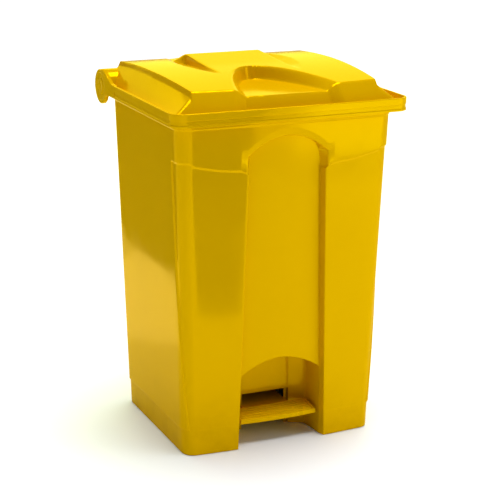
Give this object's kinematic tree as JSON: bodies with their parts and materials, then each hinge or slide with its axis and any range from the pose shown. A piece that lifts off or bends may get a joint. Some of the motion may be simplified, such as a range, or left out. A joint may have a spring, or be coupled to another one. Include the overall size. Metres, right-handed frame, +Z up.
{
  "type": "pedal bin",
  "caption": "Tall one-piece moulded waste bin with a domed hinged lid that a front foot pedal raises through an under-floor lever and a rear lift rod.",
  "frame": {"origin": "on the floor, under the middle of the closed bin's outer box", "axes": "+X to the right as seen from the front, -Y the front where the pedal is, +Z up"},
  "size_m": [0.41, 0.3788, 0.6238],
  "materials": {
    "yellow_shell": "glossy injection-moulded yellow",
    "steel": "bright zinc-plated steel",
    "nylon": "black moulded nylon",
    "rubber": "matt black rubber"
  },
  "bodies": {
    "bin": {"axle_bracket_left": "steel", "axle_bracket_right": "steel", "axle_clip_left": "steel", "axle_clip_right": "steel", "bracket_screw_1": "steel", "bracket_screw_2": "steel", "bracket_screw_3": "steel", "bracket_screw_4": "steel", "container": "yellow_shell", "cover_screw_1": "steel", "cover_screw_2": "steel", "cover_screw_3": "steel", "cover_screw_4": "steel", "foot_pad_front_left": "rubber", "foot_pad_front_right": "rubber", "foot_pad_rear_left": "rubber", "foot_pad_rear_right": "rubber", "guide_screw_1": "steel", "guide_screw_2": "steel", "guide_screw_3": "steel", "guide_screw_4": "steel", "hinge_rod": "steel", "pedal_axle": "steel", "rod_cover": "yellow_shell", "rod_guide_lower": "nylon", "rod_guide_upper": "nylon"},
    "lid": {"crank_screw_1": "steel", "crank_screw_2": "steel", "hinge_cap_left": "yellow_shell", "hinge_cap_right": "yellow_shell", "lid": "yellow_shell", "lid_crank": "steel"},
    "pedal": {"axle_bush_left": "nylon", "axle_bush_right": "nylon", "pedal_lever": "steel", "pedal_tread": "yellow_shell", "tread_screw_1": "steel", "tread_screw_2": "steel"},
    "rod": {"crank_pin": "steel", "crank_pin_clip": "steel", "lever_pin": "steel", "lever_pin_clip": "steel", "lift_rod": "steel"}
  },
  "joints": [
    {"name": "lid_hinge", "type": "hinge", "parent": "bin", "child": "lid", "pos_m": [0, 0.1599, 0.5685], "axis": [-1, 0, 0], "range_deg": [0, 75]},
    {"name": "pedal_pivot", "type": "hinge", "parent": "bin", "child": "pedal", "pos_m": [0, -0.016, 0.032], "axis": [1, 0, 0], "range_deg": [0, 14]},
    {"name": "rod_slide", "type": "slide", "parent": "bin", "child": "rod", "axis": [0, 0.0272, 0.9996], "range_m": [0, 0.0342]}
  ],
  "couplings": [
    {"joint": "pedal_pivot", "follows": "lid_hinge", "ratio": 0.1864},
    {"joint": "rod_slide", "follows": "lid_hinge", "m_per_rad": 0.02606}
  ]
}
